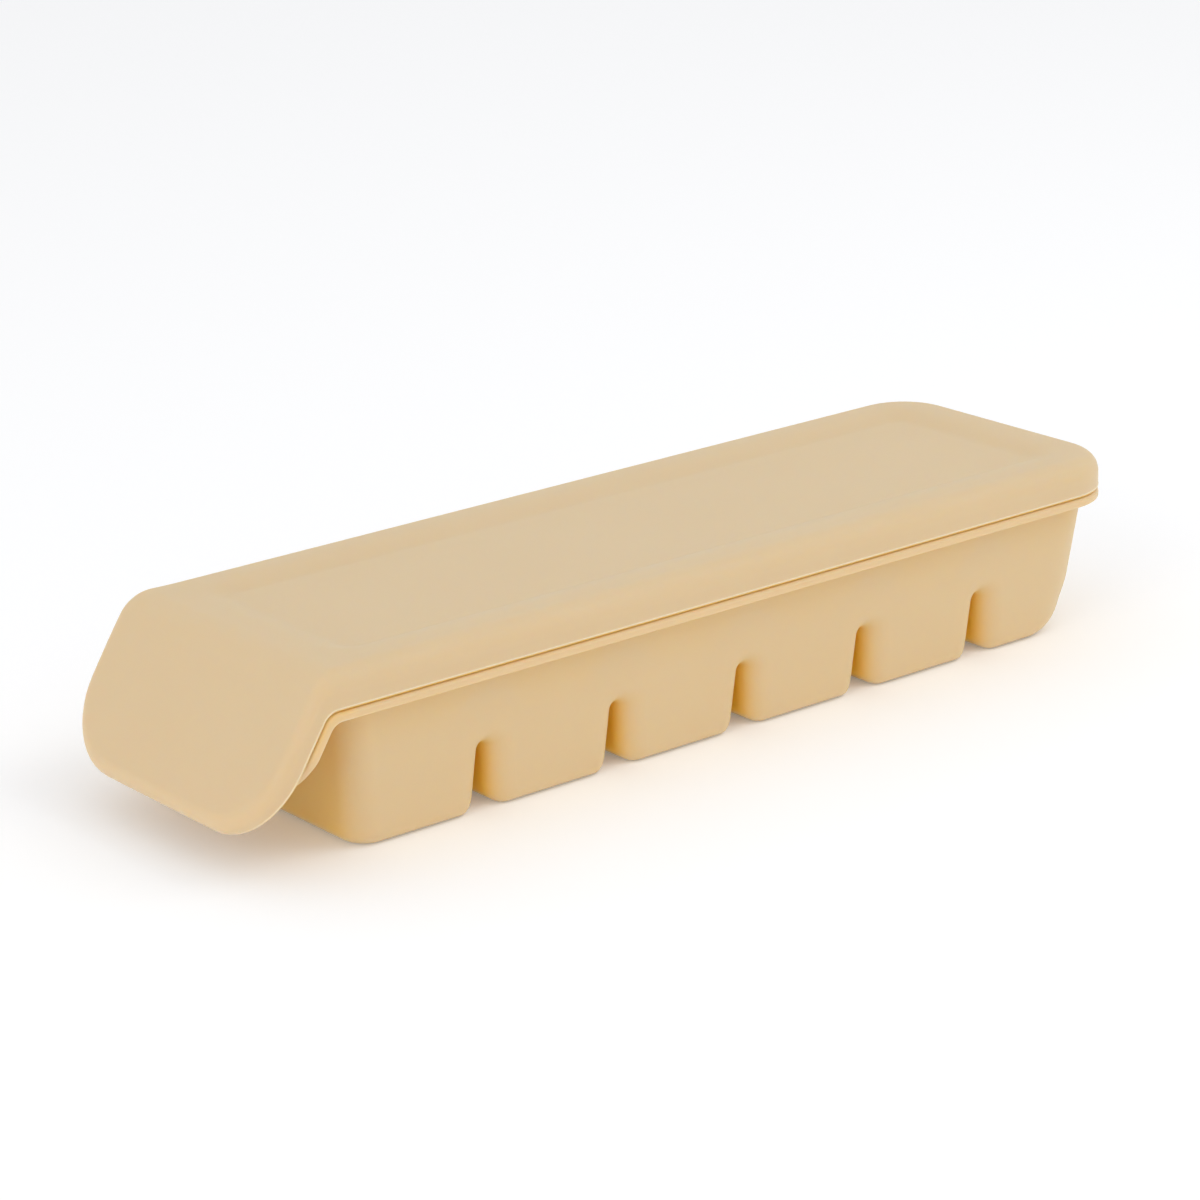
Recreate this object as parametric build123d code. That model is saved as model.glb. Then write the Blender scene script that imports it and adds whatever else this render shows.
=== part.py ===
from build123d import *
import os
from math import cos, radians, sin, tan

# A lidded silicone freezer tray: one row of cells, a press-on lid, and a sloped pull flap at one end.
# The tray stands on the ground plane with its row along X, the pull flap towards -X and +Z up.
# Every length is in millimetres and every angle in degrees.

# The row of cells
cell_count = 6
cell_pitch = 40.0
draft = 5.0
wall = 2.4
floor_thickness = 2.4
base_round = 3.6

# The notches that part neighbouring cells from below
notch_height = 16.5
notch_roof_radius = 1.0
notch_flare = 6.0

# Plan corners of the tray's walls; the far end, away from the flap, is rounder at its base
flap_end_corner = 7.0
far_corner_top = 12.0
far_corner_base = 19.0

# Inside of a cell
cell_corner = 6.0
cell_bowl_round = 5.0
cell_lip_round = 0.6
lip_land_share = 0.4

# Flange, rim and mouth of the tray
flange_under = 35.8
flange_thickness = 2.4
flange_overhang = 4.6
flange_edge_round = 0.9
mouth_step = 0.8
divider_clearance = 0.4

# Lid
lid_width = 84.0
lid_gap = 0.6
skirt_depth = 8.9
lid_thickness = 2.2
skirt_thickness = 2.2
shoulder_round = 2.8
rim_clearance = 0.4

# Shallow recess in the top of the lid
recess_depth = 2.2
recess_slope_run = 6.5
recess_side_margin = 8.4
recess_far_margin = 9.4
recess_bend_margin = 4.4
recess_corner = 10.0
recess_floor_corner = 6.0

# Bend and pull flap of the lid
flap_angle = 57.0
flap_length = 41.7
flap_reach = 8.0
flap_corner = 20.0
flap_skirt_depth = 5.2
bend_radius = 10.0
lower_bend_radius = 4.0

# Living hinge across the bend: the lift it allows, the spare angle of its groove, and its gap
hinge_lift = 90.0
hinge_spare_angle = 5.0
hinge_gap = 0.3

# Pull tab of the tray, under the lid's flap
tab_length = 29.0
tab_corner = 13.0

# How far cutting and trimming bodies run past what they cut, and how close two points count as one
overrun = 5.0
touch = 0.01

# Places along an edge, as shares of its length, and how nearly two directions agree to count as the same
middle_share = 0.5
test_shares = (0, 0.5, 1)
parallel_share = 0.99
quarter_turn = 90.0

# Sizes worked out from the ones above
draft_slope = tan(radians(draft))
skew_wall = wall / cos(radians(draft))
row_half = cell_count * cell_pitch / 2
notch_centre = notch_height - notch_roof_radius
flange_top = flange_under + flange_thickness
skirt_foot = flange_top + lid_gap
lid_top = skirt_foot + skirt_depth
rim_top = lid_top - lid_thickness
divider_top = rim_top - recess_depth - divider_clearance
lid_half = lid_width / 2
wall_half = lid_half - flange_overhang
rim_half = lid_half - skirt_thickness - rim_clearance
rim_reach = rim_half - wall_half
inner_shoulder = shoulder_round - lid_thickness
rim_edge_round = inner_shoulder + rim_clearance


def half_gap(height):
    """Half of the gap between two cells, on the straight line that a notch's wall follows."""
    return notch_roof_radius / cos(radians(draft)) + (notch_centre - height) * draft_slope


def row_half_length(height):
    """Half length of the row over its end walls."""
    return row_half - half_gap(height)


def row_half_width(height):
    """Half width of the row over its long walls."""
    return wall_half - (flange_under - height) * draft_slope


def far_corner_at(height):
    """Plan radius of the far end's corners, which runs straight from the base to the flange."""
    return far_corner_base + (far_corner_top - far_corner_base) * height / flange_under


end_wall = row_half_length(flange_under)
lid_far = end_wall + flange_overhang
lid_far_corner = far_corner_top + flange_overhang
long_reach = 2 * lid_far + flap_length

# The bend: a sharp corner where the top and the flap would meet, rounded about its own centre
bend_angle = radians(flap_angle)
bend_corner = Vector(-end_wall - flap_reach, 0, lid_top)
bend_start = bend_corner.X + bend_radius * tan(bend_angle / 2)
bend_centre = Vector(bend_start, 0, lid_top - bend_radius)
flap_down = Vector(-cos(bend_angle), 0, -sin(bend_angle))
flap_out = Vector(-sin(bend_angle), 0, cos(bend_angle))
flap_plane = Plane(origin=bend_corner, x_dir=flap_down, z_dir=flap_out)

# The hinge axis runs along Y through the middle of the lid's skin, halfway round the bend
hinge_along = Vector(cos(bend_angle / 2), 0, sin(bend_angle / 2))
hinge_out = Vector(-sin(bend_angle / 2), 0, cos(bend_angle / 2))
knuckle_radius = lid_thickness / 2
hinge_axis = bend_centre + hinge_out * (bend_radius - knuckle_radius)
across = lid_half + overrun


def plan_face(low, high, half_width, low_corner, high_corner, height=0):
    """Rectangle in plan, from low to high along X, with one corner radius at each end."""
    points = [
        (low, -half_width, height),
        (high, -half_width, height),
        (high, half_width, height),
        (low, half_width, height),
    ]
    radii = [low_corner, high_corner, high_corner, low_corner]
    return make_face(FilletPolyline(*points, radius=radii, close=True))


def spread(face, half_width):
    """Solid made by pushing a face in the XZ plane both ways along Y."""
    return extrude(face, amount=half_width, dir=(0, 1, 0), both=True)


def bent_line(top_depth, flap_depth, radius):
    """Line in the XZ plane that follows the lid's top and flap at a depth below each, with a round bend."""
    along = (top_depth - cos(bend_angle) * flap_depth) / sin(bend_angle)
    corner = bend_corner + flap_down * along - flap_out * flap_depth
    return FilletPolyline(corner + Vector(long_reach, 0, 0), corner, corner + flap_down * long_reach, radius=radius)


def bent_slab(upper, lower, far, half_width, far_corner, length, end_corner):
    """Slab between two bent lines, trimmed to a plan outline at the far end and to the flap's own outline."""
    sides = [Line(upper @ 0, lower @ 0), Line(upper @ 1, lower @ 1)]
    slab = spread(make_face([upper, lower] + sides), half_width)
    plan = plan_face(-long_reach, far, half_width, 0, far_corner, -long_reach)
    flap = flap_plane * plan_face(-long_reach, length, half_width, 0, end_corner)
    slab = slab & extrude(plan, amount=2 * long_reach, dir=(0, 0, 1))
    return slab & extrude(flap, amount=long_reach, dir=flap_out, both=True)


def skin_depth(point):
    """Depth of a point below the outer skin of the lid, its bend or its flap."""
    arm = Vector(point.X - bend_centre.X, 0, point.Z - bend_centre.Z)
    if arm.X >= 0:
        return lid_top - point.Z
    if arm.dot(flap_down) >= 0:
        return (bend_corner - point).dot(flap_out)
    return bend_radius - arm.length


def shoulder_edges(solid, depth, length):
    """Edges round the outline of a bent slab's upper skin, without the seams across its bend."""
    chosen = []
    for edge in solid.edges():
        on_skin = all(abs(skin_depth(edge @ place) - depth) < touch for place in test_shares)
        middle = edge @ middle_share
        along_flap = (middle - bend_corner).dot(flap_down)
        seam = abs(middle.Y) < touch and middle.X < 0 and along_flap < length - touch
        if on_skin and not seam:
            chosen.append(edge)
    return chosen


def outline_edges(solid, length):
    """Edges round the outline of a bent slab's two skins, without the seams across its bends or its corners."""
    chosen = []
    for edge in solid.edges():
        middle = edge @ middle_share
        along_flap = (middle - bend_corner).dot(flap_down)
        seam = abs(middle.Y) < touch and middle.X < 0 and along_flap < length - touch
        upright = abs((edge % middle_share).dot(Vector(0, 0, 1))) > parallel_share
        pitched = abs((edge % middle_share).dot(flap_out)) > parallel_share
        if not (seam or upright or pitched):
            chosen.append(edge)
    return chosen


def matching_edges(solid, pattern):
    """Edges of a solid that lie on the edges of a pattern face."""
    return [
        edge
        for edge in solid.edges()
        if any((edge @ middle_share - mark @ middle_share).length < touch for mark in pattern.edges())
    ]


def cell_centres():
    return [-row_half + cell_pitch * (index + middle_share) for index in range(cell_count)]


def notch_centres():
    return [-row_half + cell_pitch * index for index in range(1, cell_count)]


def cell_face(centre, height):
    """Plan of a cell's inside at a height; the last cell follows the rounder far end."""
    half = cell_pitch / 2 - half_gap(height) - skew_wall
    last = centre + cell_pitch > row_half
    far = far_corner_at(height) - wall if last else cell_corner
    return plan_face(centre - half, centre + half, row_half_width(height) - skew_wall, cell_corner, far, height)


def lip_round():
    """Rounding of a cell's lip, limited by the land that a divider leaves between two cells."""
    land = 2 * (half_gap(divider_top) + skew_wall)
    return min(cell_lip_round, land * lip_land_share)


def cell_cut(centre):
    """Hollow of one cell, with a bowl-like bottom."""
    hollow = loft([cell_face(centre, floor_thickness), cell_face(centre, divider_top)], ruled=True)
    return fillet(hollow.edges().group_by(Axis.Z)[0], cell_bowl_round)


def notch_cut(centre):
    """Slot between two cells, open below and at both sides, with a round roof."""
    lean = Vector(cos(radians(draft)), 0, sin(radians(draft))) * notch_roof_radius
    roof = Vector(centre, 0, notch_centre)
    right = roof + lean
    left = roof + Vector(-lean.X, 0, lean.Z)
    foot = half_gap(-overrun)
    low_right = Vector(centre + foot, 0, -overrun)
    low_left = Vector(centre - foot, 0, -overrun)
    arc = ThreePointArc(right, (centre, 0, notch_height), left)
    outline = [Line(low_left, low_right), Line(low_right, right), arc, Line(left, low_left)]
    return spread(make_face(outline), across)


def flare_edges(walls):
    """Edges where the notches break through the long walls."""
    chosen = []
    for edge in walls.edges():
        middle = edge @ middle_share
        at_notch = any(abs(middle.X - centre) < cell_pitch / 4 for centre in notch_centres())
        at_wall = abs(middle.Y) > row_half_width(0) / 2
        if at_notch and at_wall and touch < middle.Z < flange_under - touch:
            chosen.append(edge)
    return chosen


def tray_walls():
    """Outside of the row: tapered walls, notches with flared mouths, and a rounded base."""
    base = plan_face(-row_half_length(0), row_half_length(0), row_half_width(0), flap_end_corner, far_corner_base)
    top = plan_face(-end_wall, end_wall, wall_half, flap_end_corner, far_corner_top, flange_under)
    walls = loft([base, top], ruled=True)
    for centre in notch_centres():
        walls = walls - notch_cut(centre)
    walls = fillet(flare_edges(walls), notch_flare)
    return fillet(walls.edges().group_by(Axis.Z)[0], base_round)


def tray_flange():
    """Flange that follows the lid's skirt all round and bends down into the tray's pull tab."""
    upper = bent_line(lid_top - flange_top, flap_skirt_depth + lid_gap, lower_bend_radius)
    lower = bent_line(lid_top - flange_under, flap_skirt_depth + lid_gap + flange_thickness, lower_bend_radius)
    slab = bent_slab(upper, lower, lid_far, lid_half, lid_far_corner, tab_length, tab_corner)
    return fillet(outline_edges(slab, tab_length), flange_edge_round)


def tray_upstand():
    """Upstand above the flange that the lid presses over."""
    end = end_wall + rim_reach
    outline = plan_face(-end, end, rim_half, flap_end_corner + rim_reach, far_corner_top + rim_reach, flange_under)
    block = extrude(outline, amount=rim_top - flange_under, dir=(0, 0, 1))
    return fillet(block.edges().group_by(Axis.Z)[-1], rim_edge_round)


def mouth_face():
    """Plan of the mouth above the dividers, a small step wider than the cells."""
    end = row_half_length(divider_top) - skew_wall + mouth_step
    half = row_half_width(divider_top) - skew_wall + mouth_step
    far = far_corner_at(divider_top) - wall + mouth_step
    return plan_face(-end, end, half, cell_corner + mouth_step, far, divider_top)


def make_tray():
    """The tray: walls, flange with its tab, and rim, hollowed into cells under one mouth."""
    tray = tray_walls() + tray_flange() + tray_upstand()
    tray = tray - extrude(mouth_face(), amount=rim_top - divider_top + overrun, dir=(0, 0, 1))
    for centre in cell_centres():
        tray = tray - cell_cut(centre)
    for centre in cell_centres():
        tray = fillet(matching_edges(tray, cell_face(centre, divider_top)), lip_round())
    return tray


def cup_block(low, high):
    """Block that holds what lies below the flange, from low to high along the row."""
    height = flange_under + overrun
    return Pos((low + high) / 2, 0, flange_under - height / 2) * Box(high - low, 2 * across, height)


def split_tray(tray):
    """The tray's rim with its flange and tab, and one cup for each cell, cut at the dividers."""
    end = end_wall + flange_overhang / 2
    marks = [-end] + notch_centres() + [end]
    rim = tray - cup_block(-end, end)
    cups = [tray & cup_block(low, high) for low, high in zip(marks, marks[1:])]
    return rim, cups


def lid_outside():
    """Outer form of the lid and its flap, with one rounded shoulder all round."""
    upper = bent_line(0, 0, bend_radius)
    lower = bent_line(skirt_depth, flap_skirt_depth, lower_bend_radius)
    slab = bent_slab(upper, lower, lid_far, lid_half, lid_far_corner, flap_length, flap_corner)
    return fillet(shoulder_edges(slab, 0, flap_length), shoulder_round)


def lid_inside():
    """Hollow of the lid and its flap, open below."""
    upper = bent_line(lid_thickness, lid_thickness, bend_radius - lid_thickness)
    lower = bent_line(skirt_depth + overrun, flap_skirt_depth + overrun, lower_bend_radius)
    half = lid_half - skirt_thickness
    length = flap_length - skirt_thickness
    far_corner = lid_far_corner - skirt_thickness
    slab = bent_slab(upper, lower, lid_far - skirt_thickness, half, far_corner, length, flap_corner - skirt_thickness)
    return fillet(shoulder_edges(slab, lid_thickness, length), inner_shoulder)


def lid_recess():
    """Shallow dish in the lid's top, with soft sloping sides."""
    half = lid_half - recess_side_margin
    left = bend_start + recess_bend_margin
    right = lid_far - recess_far_margin
    brim = plan_face(left, right, half, recess_corner, recess_corner, lid_top)
    bed = plan_face(
        left + recess_slope_run,
        right - recess_slope_run,
        half - recess_slope_run,
        recess_floor_corner,
        recess_floor_corner,
        lid_top - recess_depth,
    )
    return loft([brim, bed], ruled=True)


def hinge_side(sign):
    """Block on the lid's side (1) or the flap's side (-1) of an upright cut at the hinge, less half of its gap."""
    block = Box(long_reach, 2 * across, 2 * long_reach)
    return Pos(hinge_axis.X + sign * (long_reach + hinge_gap) / 2, 0, hinge_axis.Z) * block


def hinge_groove():
    """V groove in the outer skin that lets the flap swing up."""
    rise = bend_radius
    reach = rise * tan(radians(hinge_lift / 2 + hinge_spare_angle))
    points = [(0, 0), (reach, rise), (-reach, rise)]
    corners = [hinge_axis + hinge_along * x + hinge_out * z for x, z in points]
    return spread(make_face(Polyline(*corners, close=True)), across)


def hinge_knuckle(gap):
    """Round bead along the hinge axis, as thick as the lid's skin."""
    bead = Cylinder(knuckle_radius + gap, 2 * (lid_half - shoulder_round + gap))
    return Pos(hinge_axis.X, 0, hinge_axis.Z) * Rot(quarter_turn, 0, 0) * bead


def make_lid_and_flap():
    """The lid, split at its bend into the panel that closes the tray and the flap that lifts."""
    recess = lid_recess()
    shell = lid_outside() - lid_inside()
    shell = shell + Pos(0, 0, -lid_thickness) * recess
    shell = shell - recess
    grooved = shell - hinge_groove()
    panel = (grooved & hinge_side(1)) - hinge_knuckle(hinge_gap)
    flap = (grooved & hinge_side(-1)) + hinge_knuckle(0)
    return panel, flap


lid, lid_flap = make_lid_and_flap()
rim, cups = split_tray(make_tray())
pieces = {"tray_rim": rim, "lid": lid, "lid_flap": lid_flap}
for number, cup in enumerate(cups, 1):
    pieces[f"cup_{number}"] = cup

# The origin goes to the middle of the whole object, on the ground
boxes = [piece.bounding_box() for piece in pieces.values()]
centre_shift = -(min(box.min.X for box in boxes) + max(box.max.X for box in boxes)) / 2

os.makedirs("parts", exist_ok=True)
for name, piece in pieces.items():
    export_step(Pos(centre_shift, 0, 0) * piece, f"parts/{name}.step")

print("tray centre along X", centre_shift)
print("hinge axis X and Z", hinge_axis.X + centre_shift, hinge_axis.Z)
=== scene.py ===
# %% [markdown]
# # A lidded silicone freezer tray
# The object is a long tray of six cells, moulded in pale yellow silicone, with a soft lid pressed over
# its rim. The lid bends down at one end into a sloped pull flap, and the tray has a short tab under it.
# The solids of the part give the sizes, and the skins below give the soft shapes that a mould leaves.

import bmesh
import bpy
import numpy as np
from mathutils import Matrix, Vector


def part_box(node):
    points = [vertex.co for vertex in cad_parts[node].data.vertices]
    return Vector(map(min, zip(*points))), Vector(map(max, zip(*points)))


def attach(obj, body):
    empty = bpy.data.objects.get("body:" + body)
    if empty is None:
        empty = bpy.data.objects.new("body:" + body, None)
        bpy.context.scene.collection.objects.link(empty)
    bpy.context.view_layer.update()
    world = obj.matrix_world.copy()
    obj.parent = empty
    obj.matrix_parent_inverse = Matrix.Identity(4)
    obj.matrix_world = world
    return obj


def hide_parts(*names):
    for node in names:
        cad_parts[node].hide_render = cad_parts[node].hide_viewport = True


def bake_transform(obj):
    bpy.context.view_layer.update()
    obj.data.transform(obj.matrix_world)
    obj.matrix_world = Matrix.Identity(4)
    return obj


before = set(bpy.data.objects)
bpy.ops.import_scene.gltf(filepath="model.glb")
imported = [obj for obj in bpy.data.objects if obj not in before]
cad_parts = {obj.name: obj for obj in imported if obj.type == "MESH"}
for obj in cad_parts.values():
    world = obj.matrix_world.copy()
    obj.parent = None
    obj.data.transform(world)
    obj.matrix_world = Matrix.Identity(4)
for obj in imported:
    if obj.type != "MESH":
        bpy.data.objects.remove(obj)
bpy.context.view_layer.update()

# %% [markdown]
# ## Sizes taken from the solids
# All shapes are worked out in millimetres with the middle of the row of cells at zero, and are moved into
# the part's frame when a mesh is made. The lid's box gives its half width, its top and its far end, and
# the boxes of two neighbouring cups give the pitch of the cells, so the skins stay on the solids.

# %% Sizes
MM = 0.001
lid_box = [np.array(corner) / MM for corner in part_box("lid")]
pitch = (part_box("cup_3")[1].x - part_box("cup_2")[1].x) / MM
cells = 6
row_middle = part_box("cup_3")[1].x / MM
lid_half = lid_box[1][1]
lid_top = lid_box[1][2]
lid_far = lid_box[1][0] - row_middle
draft = np.radians(5.0)
slope = np.tan(draft)
flange_under = 35.8
flange_thick = 2.4
overhang = 4.6
lid_thick = 2.2
wall_thick = 2.4 / np.cos(draft)
slot_roof = 15.5
slot_radius = 1.0
half_row = cells * pitch / 2
print("pitch", pitch, "row middle", row_middle, "lid", lid_half, lid_top, lid_far)


def half_gap(z):
    """Half of the gap between two cells at a height: a straight line that leans by the draft angle."""
    return slot_radius / np.cos(draft) + (slot_roof - z) * slope


def half_width(z):
    """Half width over the long walls at a height, which spread upwards by the draft angle."""
    return lid_half - overhang - (flange_under - z) * slope


def smooth(t):
    """Smooth step from 0 to 1: three t squared less two t cubed."""
    t = np.clip(t, 0.0, 1.0)
    return t * t * (3.0 - 2.0 * t)


def quarter_turn(count):
    """Angles from zero to a right angle in even steps."""
    return np.linspace(0.0, np.pi / 2, count)


def stacked(*coordinates):
    """Points from their coordinates, each an array or one number for all of them."""
    return np.stack(np.broadcast_arrays(*coordinates), axis=-1)


# %% [markdown]
# ## From grids of points to one closed mesh
# A soft moulding has no loose edges, so each piece is one closed shell. It is made of patches, and a patch
# is a grid of points. Neighbouring patches repeat their shared edge exactly, so merging the doubles sews
# the shell.

# %% Mesh helpers
sew_distance = 3e-6
speck = 1e-7


def grid_faces(rows, cols, first):
    """Quads of a grid: each joins a point to the next in its row and to the same two in the next row."""
    corner = (np.arange(rows - 1)[:, None] * cols + np.arange(cols - 1)[None, :]).ravel() + first
    return np.stack([corner, corner + 1, corner + cols + 1, corner + cols], axis=1)


def make_piece(name, patches, material):
    """One closed mesh from patches of shape (rows, columns, 3) in millimetres about the middle of the row.
    Each patch comes with its painted light: 0 in the open, up to 1 for painted amber shade in hollows, more
    for a painted glow out of a narrow gap, and below 0 for a painted pale highlight on the parting bead and
    the tab's lower edge."""
    first = 0
    points = []
    quads = []
    painted_light = []
    for patch, shade in patches:
        rows, cols = patch.shape[:2]
        points.append(patch.reshape(-1, 3))
        painted_light.append(np.broadcast_to(shade, (rows, cols)).ravel())
        quads.append(grid_faces(rows, cols, first))
        first += rows * cols
    points = (np.concatenate(points) + np.array([row_middle, 0.0, 0.0])) * MM
    mesh = bpy.data.meshes.new(name)
    mesh.from_pydata(points.tolist(), [], np.concatenate(quads).tolist())
    # The painted shade, glow and highlight are kept as a point attribute for the material.
    kept = mesh.attributes.new("painted_light", "FLOAT", "POINT")
    kept.data.foreach_set("value", np.concatenate(painted_light))
    shell = bmesh.new()
    shell.from_mesh(mesh)
    bmesh.ops.remove_doubles(shell, verts=shell.verts, dist=sew_distance)
    bmesh.ops.dissolve_degenerate(shell, edges=shell.edges, dist=speck)
    bmesh.ops.recalc_face_normals(shell, faces=shell.faces)
    loose = sum(1 for edge in shell.edges if len(edge.link_faces) != 2)
    triangles = sum(len(face.verts) - 2 for face in shell.faces)
    volume = shell.calc_volume(signed=True)
    shell.to_mesh(mesh)
    shell.free()
    mesh.polygons.foreach_set("use_smooth", np.ones(len(mesh.polygons), dtype=bool))
    mesh.materials.append(material)
    piece = bpy.data.objects.new(name, mesh)
    bpy.context.collection.objects.link(piece)
    print(name, "triangles", triangles, "open edges", loose, "volume ml", round(volume * 1e6, 2))
    return piece


def mirrored(patch):
    """The same patch on the other side of the row, with y turned round."""
    return patch * np.array([1.0, -1.0, 1.0])


# %% [markdown]
# ## A small language for shader maths
# Shader nodes are easier to read as formulas. The class wraps one output socket, and each operator on it
# adds a Math node. Every other node comes from one method that sets a node's settings first and its
# sockets next.

# %% Shader helper
class Value:
    """One output socket, with operators that add Math nodes behind it."""

    def __init__(self, tree, socket):
        self.tree = tree
        self.socket = socket

    def node(self, kind, settings=(), sockets=(), output=0):
        """Adds a node, sets its settings, then links or sets its sockets, and returns one output."""
        made = self.tree.nodes.new(kind)
        for key, value in dict(settings).items():
            setattr(made, key, value)
        for key, value in dict(sockets).items():
            if isinstance(value, Value):
                self.tree.links.new(value.socket, made.inputs[key])
            else:
                made.inputs[key].default_value = value
        return Value(self.tree, made.outputs[output])

    def math(self, operation, first, second):
        """One Math node on two numbers or sockets."""
        return self.node("ShaderNodeMath", {"operation": operation}, {0: first, 1: second})

    def __add__(self, other):
        return self.math("ADD", self, other)

    def __radd__(self, other):
        return self.math("ADD", other, self)

    def __sub__(self, other):
        return self.math("SUBTRACT", self, other)

    def __rsub__(self, other):
        return self.math("SUBTRACT", other, self)

    def __mul__(self, other):
        return self.math("MULTIPLY", self, other)


# %% [markdown]
# ## The silicone
# Food-grade silicone is cloudy rather than opaque: light enters, scatters and comes out warmer. A constant
# subsurface share softens the light. Shade and light are also painted into the colour, picked by a value
# kept with each point: a painted amber shade in hollows, a faint painted glow out of a narrow gap, and a
# painted pale highlight on the parting bead and the tab's lower edge. The mould's blasted face leaves a fine
# grain, which a small bump and an uneven roughness show, and the pigment is never quite even.

# %% Silicone material
# Painted light: the amber is painted shade, the glow is a painted glow, and the pale tint is a painted
# highlight.
painted_shade_amber = (0.93, 0.56, 0.05, 1.0)
painted_glow = (0.17, 0.095, 0.01, 1.0)
painted_highlight = (0.77, 0.64, 0.45, 1.0)
cloud_noise = {"Scale": 28.0, "Detail": 3.0}
grain_noise = {"Scale": 2600.0, "Detail": 2.0, "Roughness": 0.6}
cloud_matte = 0.06
grain_matte = 0.10
grain_bump = {"Strength": 0.10, "Distance": 0.0002}
scatter = {
    "Subsurface Weight": 1.0,
    "Subsurface Radius": (1.0, 0.75, 0.45),
    "Subsurface Scale": 0.002,
    "Specular IOR Level": 0.5,
    "Emission Strength": 1.0,
}


def silicone(name, colour, deep_colour, roughness):
    """Matte silicone: two close tints mixed by a broad noise, a painted amber shade by the painted-light
    value, a painted pale highlight where that is below zero, a faint painted glow where it is above one, a
    fine grain on the normal, and soft scattering."""
    material = bpy.data.materials.new(name)
    material.use_nodes = True
    tree = material.node_tree
    shader = tree.nodes["Principled BSDF"]
    place = Value(tree, tree.nodes.new("ShaderNodeTexCoord").outputs["Object"])
    cloud = place.node("ShaderNodeTexNoise", {}, {"Vector": place, **cloud_noise})
    grain = place.node("ShaderNodeTexNoise", {}, {"Vector": place, **grain_noise})
    painted_light = place.node("ShaderNodeAttribute", {"attribute_name": "painted_light"}, {}, output=2)

    def mix(factor, first, second):
        """One colour to another by a factor, which is held between 0 and 1."""
        colours = {0: factor, 6: first, 7: second}
        return place.node("ShaderNodeMix", {"data_type": "RGBA"}, colours, output=2)

    tint = mix(cloud, (*colour, 1.0), (*deep_colour, 1.0))
    # Painted shade towards amber and a painted highlight towards the pale tint, by the painted-light value.
    tint_and_painted_light = mix(0.0 - painted_light, mix(painted_light, tint, painted_shade_amber), painted_highlight)
    # A painted glow, sent to the emission, where the painted-light value passes one.
    lit = mix(painted_light - 1.0, (0.0, 0.0, 0.0, 1.0), painted_glow)
    matte = roughness + (cloud - 0.5) * cloud_matte + (grain - 0.5) * grain_matte
    bump = place.node("ShaderNodeBump", {}, {"Height": grain, **grain_bump})
    tree.links.new(tint_and_painted_light.socket, shader.inputs["Base Color"])
    tree.links.new(lit.socket, shader.inputs["Emission Color"])
    tree.links.new(matte.socket, shader.inputs["Roughness"])
    tree.links.new(bump.socket, shader.inputs["Normal"])
    shader.subsurface_method = "RANDOM_WALK"
    for key, value in scatter.items():
        shader.inputs[key].default_value = value
    return material


tray_silicone = silicone("tray silicone", (0.725, 0.55, 0.315), (0.715, 0.535, 0.30), 0.52)
lid_silicone = silicone("lid silicone", (0.71, 0.54, 0.32), (0.70, 0.525, 0.305), 0.54)
print("materials", tray_silicone.name, lid_silicone.name)

# %% [markdown]
# ## Lines that follow the lid round its bend
# The lid's skin, the foot of its skirt and both faces of the tray's flange all run flat along the row,
# turn down by 57 degrees and run on along the flap. One distance along the outer skin serves all of them:
# each line turns over the same stretch of it, at its own depth and radius, so points with the same
# distance lie opposite. A line is given by its depths under the top and under the flap, and its radius.

# %% Bent lines
bend = np.radians(57.0)
bend_radius = 10.0
bend_past = 8.0
flap_length = 42.0
bend_corner = -(lid_far - overhang) - bend_past
flap_begin = bend_radius * np.tan(bend / 2)
bend_start = bend_corner + flap_begin
bend_end = bend_start - bend_radius * bend
flap_tip = bend_end - (flap_length - flap_begin)
hold = 15.0
OUTER_SKIN = (0.0, 0.0, bend_radius)
INNER_SKIN = (lid_thick, lid_thick, bend_radius - lid_thick)
SKIRT_FOOT = (9.2, 5.45, 4.5)
FLANGE_TOP = (9.5, 5.8, 4.5)
FLANGE_UNDER = (11.9, 8.2, 4.0)


def line_start(line):
    """Where a line starts to bend, along x, and how far down the flap its bend ends."""
    top_depth, flap_depth, radius = line
    along = (top_depth - np.cos(bend) * flap_depth) / np.sin(bend)
    cut = radius * np.tan(bend / 2)
    return bend_corner - np.cos(bend) * along + np.sin(bend) * flap_depth + cut, along + cut


def on_line(s, line):
    """Points (x, z) of a bent line at distances s along the outer skin: flat, an arc, then a slope.
    Close to the bend the flat and the slope are stretched, so that the line's own arc starts and ends
    with it."""
    top_depth, _, radius = line
    start, begin = line_start(line)
    ahead = np.maximum(s - bend_start, 0.0)
    flat = start - bend_start + ahead + (bend_start - start) * np.minimum(ahead / hold, 1.0)
    turn = np.clip((bend_start - s) / bend_radius, 0.0, bend)
    past = np.maximum(bend_end - s, 0.0)
    down = past + (flap_begin - begin) * np.minimum(past / hold, 1.0)
    x = bend_start + flat - radius * np.sin(turn) - np.cos(bend) * down
    z = lid_top - top_depth - radius * (1.0 - np.cos(turn)) - np.sin(bend) * down
    return x, z


def flat_distance(x, line):
    """Distance along the skin at which the flat part of a line reaches x, the reverse of that stretch."""
    start = line_start(line)[0]
    reach = (x - start) / (1.0 + (bend_start - start) / hold)
    return np.where(reach < hold, bend_start + reach, x)


print("bend from", round(bend_start, 2), "to", round(bend_end, 2), "flap tip", round(flap_tip, 2))

# %% [markdown]
# ## The lid
# The lid and its flap are one skin: a rounded shoulder, a skirt that comes down over the tray's rim, and a
# broad shallow recess. Its outline is a loop in distance and width; insetting that loop gives each row of
# the shoulder and the skirt, and the rows of the top join the two long sides, so the whole shell shares
# one set of points.

# %% Lid outline
far_corner = 16.6
flap_corner = 20.0
share = np.linspace(0.0, 1.0, 31)
across = np.sin(share * np.pi / 2) * 0.35 + share * 0.65
ends = len(across) - 1
quarter = quarter_turn(13)
shoulder_lid = 5.0
shoulder_side = 2.8
shoulder_tip = 3.6


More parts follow.
